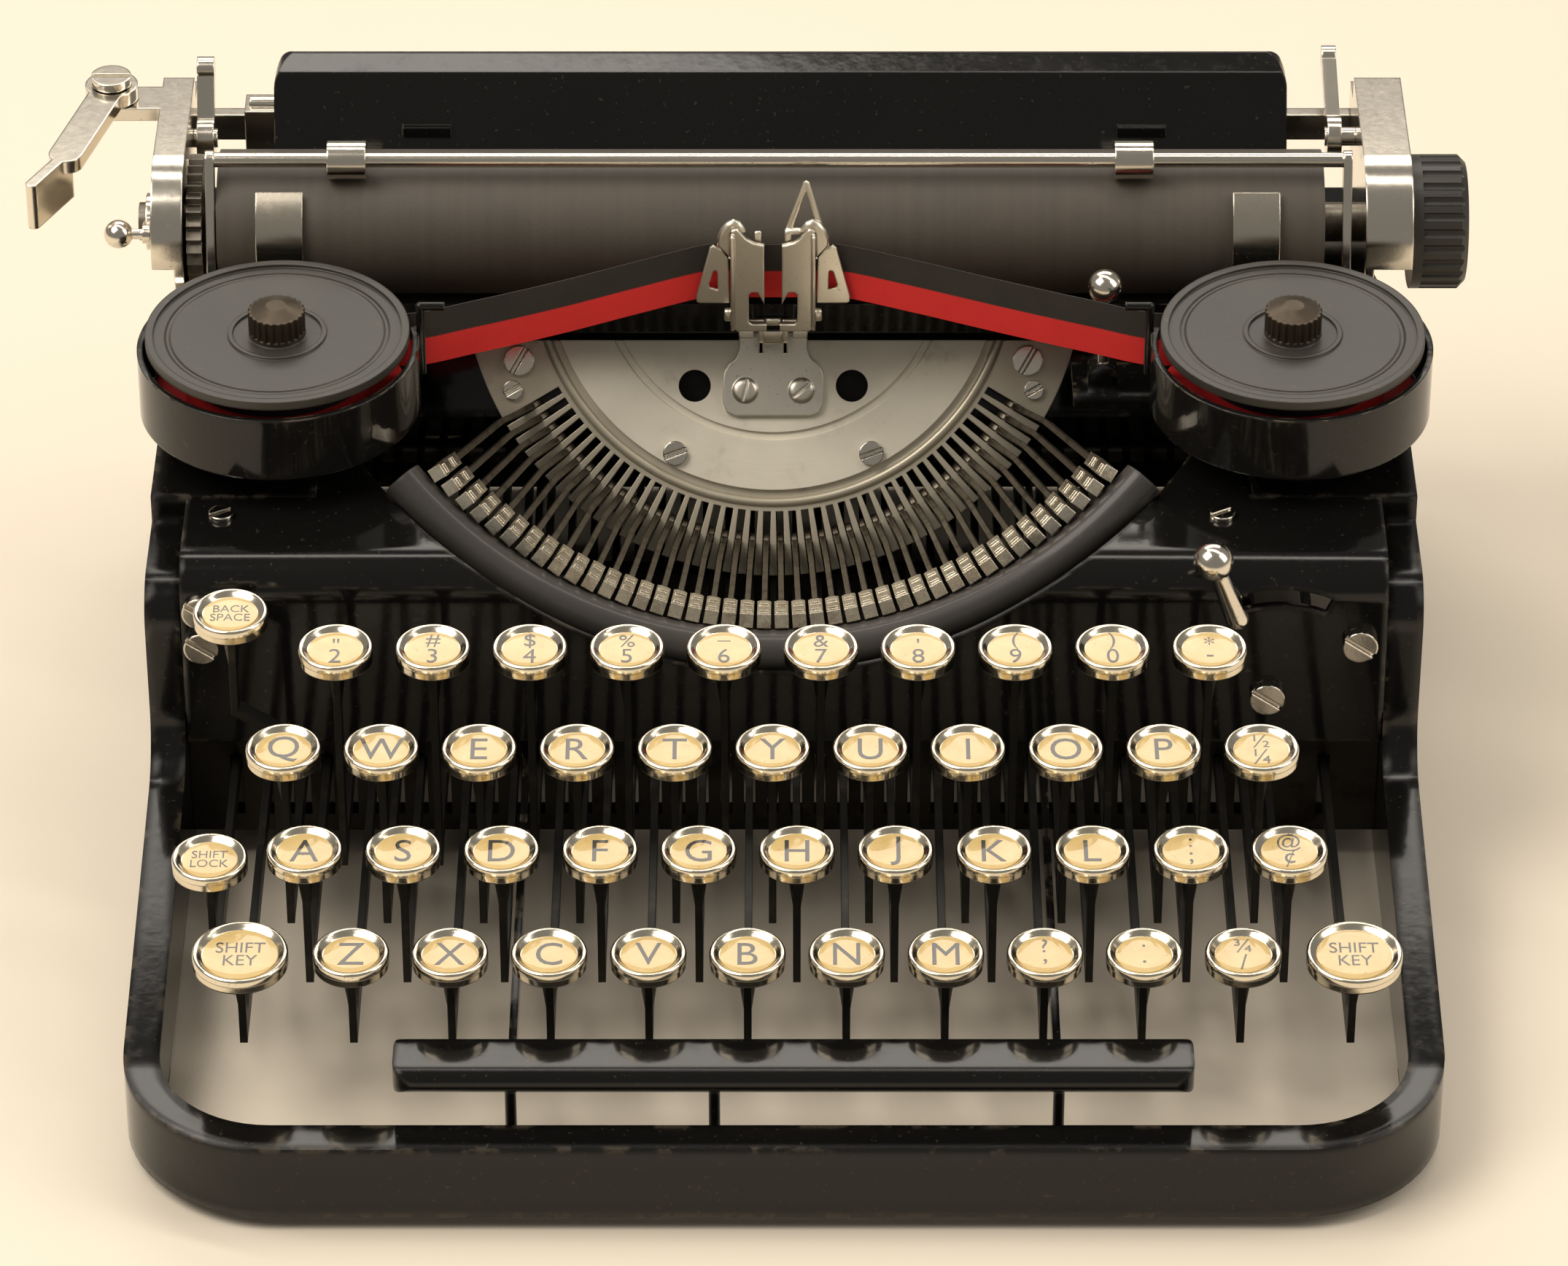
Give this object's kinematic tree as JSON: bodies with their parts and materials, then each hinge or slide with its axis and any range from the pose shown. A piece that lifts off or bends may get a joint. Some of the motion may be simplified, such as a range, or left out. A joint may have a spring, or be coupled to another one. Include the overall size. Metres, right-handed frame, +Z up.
{
  "type": "portable typewriter",
  "caption": "Black enamelled portable typewriter with ringed round keys, open type basket, ribbon spools in cups and a shifting carriage.",
  "frame": {"origin": "middle of the whole machine's footprint, on the table under the rubber feet", "axes": "+X towards the typist's right along the platen, +Y from the typist to the paper, +Z up"},
  "size_m": [0.2966, 0.2584, 0.1184],
  "materials": {
    "enamel": "gloss black stove enamel",
    "nickel": "worn nickel plate",
    "steel": "dull oiled steel",
    "key_steel": "blackened levers, nickel rings, cream cards under glass",
    "rubber": "aged matt rubber",
    "hard_rubber": "ribbed hard rubber",
    "ribbon_cloth": "inked cotton, black over red"
  },
  "bodies": {
    "machine": {"base_frame": "enamel", "front_cover": "enamel", "type_rest": "enamel", "rear_plate": "enamel", "segment": "nickel", "segment_plate": "nickel", "fulcrum_wire": "steel", "type_guide": "nickel", "type_bars": "steel", "spool_cup_left": "enamel", "spool_cup_right": "enamel", "ribbon": "ribbon_cloth", "rubber_feet": "rubber", "lever_shaft": "steel", "lever_comb": "steel", "bell": "nickel", "frame_screws": "nickel", "rail_posts": "steel"},
    "number_key_bank": {"number_key_bank": "key_steel"},
    "upper_key_bank": {"upper_key_bank": "key_steel"},
    "home_key_bank": {"home_key_bank": "key_steel"},
    "lower_key_bank": {"lower_key_bank": "key_steel"},
    "sample_key": {"sample_key": "key_steel"},
    "sub_lever": {"sub_lever": "steel"},
    "type_bar_link": {"type_bar_link": "steel"},
    "striking_type_bar": {"striking_type_bar": "steel"},
    "shift_keys": {"shift_keys": "key_steel"},
    "shift_lock_key": {"shift_lock_key": "key_steel"},
    "backspace_key": {"backspace_key": "key_steel"},
    "space_bar": {"space_bar": "enamel"},
    "carriage_rail": {"carriage_rail": "steel"},
    "margin_stop_left": {"margin_stop_left": "nickel"},
    "margin_stop_right": {"margin_stop_right": "nickel"},
    "feed_roller_front": {"feed_roller_front": "rubber"},
    "feed_roller_rear": {"feed_roller_rear": "rubber"},
    "line_space_lever": {"line_space_lever": "nickel"},
    "paper_bail": {"paper_bail": "nickel"},
    "bail_rollers": {"bail_rollers": "nickel"},
    "paper_release_lever": {"paper_release_lever": "nickel"},
    "carriage_release_lever": {"carriage_release_lever": "nickel"},
    "line_space_selector": {"line_space_selector": "nickel"},
    "spool_left": {"spool_left": "nickel"},
    "spool_right": {"spool_right": "nickel"},
    "ribbon_vibrator": {"ribbon_vibrator": "nickel"},
    "ribbon_reverse_lever": {"ribbon_reverse_lever": "nickel"},
    "ribbon_selector": {"ribbon_selector": "nickel"},
    "spring_drum": {"spring_drum": "nickel"},
    "escapement_wheel": {"escapement_wheel": "nickel"},
    "bell_hammer": {"bell_hammer": "steel"},
    "carriage": {"carriage_frame": "enamel", "end_plate_left": "nickel", "end_plate_right": "nickel", "paper_table": "enamel", "paper_fingers": "nickel", "carriage_rack": "steel", "margin_rail": "nickel"},
    "platen": {"platen": "rubber", "platen_shaft": "steel", "platen_knob": "hard_rubber", "ratchet_wheel": "steel"}
  },
  "joints": [
    {"name": "number_key_press", "type": "hinge", "parent": "machine", "child": "number_key_bank", "pos_m": [0.00692, 0.1058, 0.0233], "axis": [1, 0, 0], "range_deg": [0, 3.6], "stiffness_Nm_per_rad": 2, "springref_deg": -22.92},
    {"name": "upper_key_press", "type": "hinge", "parent": "machine", "child": "upper_key_bank", "pos_m": [0.00692, 0.1058, 0.0233], "axis": [1, 0, 0], "range_deg": [0, 3.6], "stiffness_Nm_per_rad": 2, "springref_deg": -22.92},
    {"name": "home_key_press", "type": "hinge", "parent": "machine", "child": "home_key_bank", "pos_m": [0.00692, 0.1058, 0.0233], "axis": [1, 0, 0], "range_deg": [0, 3.6], "stiffness_Nm_per_rad": 2, "springref_deg": -22.92},
    {"name": "lower_key_press", "type": "hinge", "parent": "machine", "child": "lower_key_bank", "pos_m": [0.00692, 0.1058, 0.0233], "axis": [1, 0, 0], "range_deg": [0, 2.3], "stiffness_Nm_per_rad": 2, "springref_deg": -22.92},
    {"name": "sample_key_press", "type": "hinge", "parent": "machine", "child": "sample_key", "pos_m": [0.00692, 0.1058, 0.0233], "axis": [1, 0, 0], "range_deg": [0, 3.6], "stiffness_Nm_per_rad": 0.4, "springref_deg": -22.92},
    {"name": "sub_lever_turn", "type": "hinge", "parent": "machine", "child": "sub_lever", "pos_m": [0.00692, 0.0228, 0.0168], "axis": [1, 0, 0], "range_deg": [0, 31]},
    {"name": "type_bar_swing", "type": "hinge", "parent": "machine", "child": "striking_type_bar", "pos_m": [0.00318, 0.05922, 0.03031], "axis": [-0.9997, 0.0141, 0.021], "range_deg": [0, 70.5]},
    {"name": "link_turn", "type": "hinge", "parent": "striking_type_bar", "child": "type_bar_link", "pos_m": [0.00318, 0.06193, 0.0268], "axis": [-0.9997, 0.0141, 0.021], "range_deg": [-70.5, 0]},
    {"name": "ribbon_lift", "type": "slide", "parent": "machine", "child": "ribbon_vibrator", "axis": [0, 0, 1], "range_m": [0, 0.0061]},
    {"name": "shift_press", "type": "hinge", "parent": "machine", "child": "shift_keys", "pos_m": [0.00692, 0.1058, 0.0233], "axis": [1, 0, 0], "range_deg": [0, 3.65]},
    {"name": "shift_lock_press", "type": "hinge", "parent": "machine", "child": "shift_lock_key", "pos_m": [0.00692, 0.1058, 0.0233], "axis": [1, 0, 0], "range_deg": [0, 3.6], "stiffness_Nm_per_rad": 0.4, "springref_deg": -22.92},
    {"name": "backspace_press", "type": "hinge", "parent": "machine", "child": "backspace_key", "pos_m": [0.00692, 0.1058, 0.0233], "axis": [1, 0, 0], "range_deg": [0, 3.6], "stiffness_Nm_per_rad": 0.4, "springref_deg": -22.92},
    {"name": "space_bar_press", "type": "hinge", "parent": "machine", "child": "space_bar", "pos_m": [0.00692, 0.1058, 0.0233], "axis": [1, 0, 0], "range_deg": [0, 2.5], "stiffness_Nm_per_rad": 0.8, "springref_deg": -22.92},
    {"name": "shift_lift", "type": "slide", "parent": "machine", "child": "carriage_rail", "axis": [0, 0, 1], "range_m": [0, 0.006]},
    {"name": "carriage_travel", "type": "slide", "parent": "carriage_rail", "child": "carriage", "axis": [1, 0, 0], "range_m": [-0.088, 0.088]},
    {"name": "escapement_turn", "type": "hinge", "parent": "carriage_rail", "child": "escapement_wheel", "pos_m": [0.00692, 0.1168, 0.0555], "axis": [0, 1, 0], "range_deg": [-705, 705]},
    {"name": "spring_drum_turn", "type": "hinge", "parent": "machine", "child": "spring_drum", "pos_m": [-0.06808, 0.1178, 0.039], "axis": [0, 1, 0], "range_deg": [-270, 270]},
    {"name": "platen_turn", "type": "hinge", "parent": "carriage", "child": "platen", "pos_m": [0.00692, 0.0823, 0.096], "axis": [1, 0, 0], "continuous": true},
    {"name": "front_feed_turn", "type": "hinge", "parent": "carriage", "child": "feed_roller_front", "pos_m": [0.00692, 0.07886, 0.0765], "axis": [1, 0, 0], "continuous": true},
    {"name": "rear_feed_turn", "type": "hinge", "parent": "carriage", "child": "feed_roller_rear", "pos_m": [0.00692, 0.09503, 0.08083], "axis": [1, 0, 0], "continuous": true},
    {"name": "bail_swing", "type": "hinge", "parent": "carriage", "child": "paper_bail", "pos_m": [0.00692, 0.0668, 0.078], "axis": [1, 0, 0], "range_deg": [0, 15]},
    {"name": "bail_roller_turn", "type": "hinge", "parent": "paper_bail", "child": "bail_rollers", "pos_m": [0.00692, 0.0765, 0.1144], "axis": [1, 0, 0], "continuous": true},
    {"name": "line_space_pull", "type": "hinge", "parent": "carriage", "child": "line_space_lever", "pos_m": [-0.13378, 0.1056, 0.113], "axis": [0, 0, 1], "range_deg": [0, 20], "stiffness_Nm_per_rad": 0.1, "springref_deg": -5.73},
    {"name": "line_space_choice", "type": "hinge", "parent": "carriage", "child": "line_space_selector", "pos_m": [-0.12408, 0.0823, 0.096], "axis": [1, 0, 0], "range_deg": [-12, 12]},
    {"name": "paper_release_press", "type": "hinge", "parent": "carriage", "child": "paper_release_lever", "pos_m": [0.12192, 0.1048, 0.103], "axis": [1, 0, 0], "range_deg": [0, 15]},
    {"name": "carriage_release_press", "type": "hinge", "parent": "carriage", "child": "carriage_release_lever", "pos_m": [-0.11408, 0.1058, 0.102], "axis": [1, 0, 0], "range_deg": [0, 15]},
    {"name": "left_margin", "type": "slide", "parent": "carriage", "child": "margin_stop_left", "axis": [1, 0, 0], "range_m": [0, 0.08]},
    {"name": "right_margin", "type": "slide", "parent": "carriage", "child": "margin_stop_right", "axis": [1, 0, 0], "range_m": [-0.07, 0.04]},
    {"name": "left_spool_turn", "type": "hinge", "parent": "machine", "child": "spool_left", "pos_m": [-0.09548, 0.0328, 0.093], "axis": [0, 0, 1], "continuous": true},
    {"name": "right_spool_turn", "type": "hinge", "parent": "machine", "child": "spool_right", "pos_m": [0.10972, 0.0328, 0.093], "axis": [0, 0, 1], "continuous": true},
    {"name": "ribbon_reverse_turn", "type": "hinge", "parent": "machine", "child": "ribbon_reverse_lever", "pos_m": [0.10592, -0.0112, 0.043], "axis": [0, 1, 0], "range_deg": [0, 40]},
    {"name": "ribbon_selector_turn", "type": "hinge", "parent": "machine", "child": "ribbon_selector", "pos_m": [0.07252, 0.0518, 0.0785], "axis": [0, 1, 0], "range_deg": [-10, 10]},
    {"name": "bell_strike", "type": "hinge", "parent": "machine", "child": "bell_hammer", "pos_m": [0.10492, 0.1158, 0.047], "axis": [0, 1, 0], "range_deg": [0, 4]}
  ],
  "couplings": [
    {"joint": "sub_lever_turn", "follows": "sample_key_press", "ratio": 8.47},
    {"joint": "type_bar_swing", "follows": "sample_key_press", "ratio": 19.44},
    {"joint": "link_turn", "follows": "sample_key_press", "ratio": -19.44},
    {"joint": "ribbon_lift", "follows": "sample_key_press", "m_per_rad": 0.0955},
    {"joint": "shift_press", "follows": "shift_lift", "rad_per_m": 10.47},
    {"joint": "escapement_turn", "follows": "carriage_travel", "rad_per_m": 138.89},
    {"joint": "spring_drum_turn", "follows": "carriage_travel", "rad_per_m": 52.632},
    {"joint": "front_feed_turn", "follows": "platen_turn", "ratio": -3.3333},
    {"joint": "rear_feed_turn", "follows": "platen_turn", "ratio": -3.3333},
    {"joint": "bail_roller_turn", "follows": "platen_turn", "ratio": -3.75},
    {"joint": "right_spool_turn", "follows": "left_spool_turn", "ratio": 1}
  ]
}
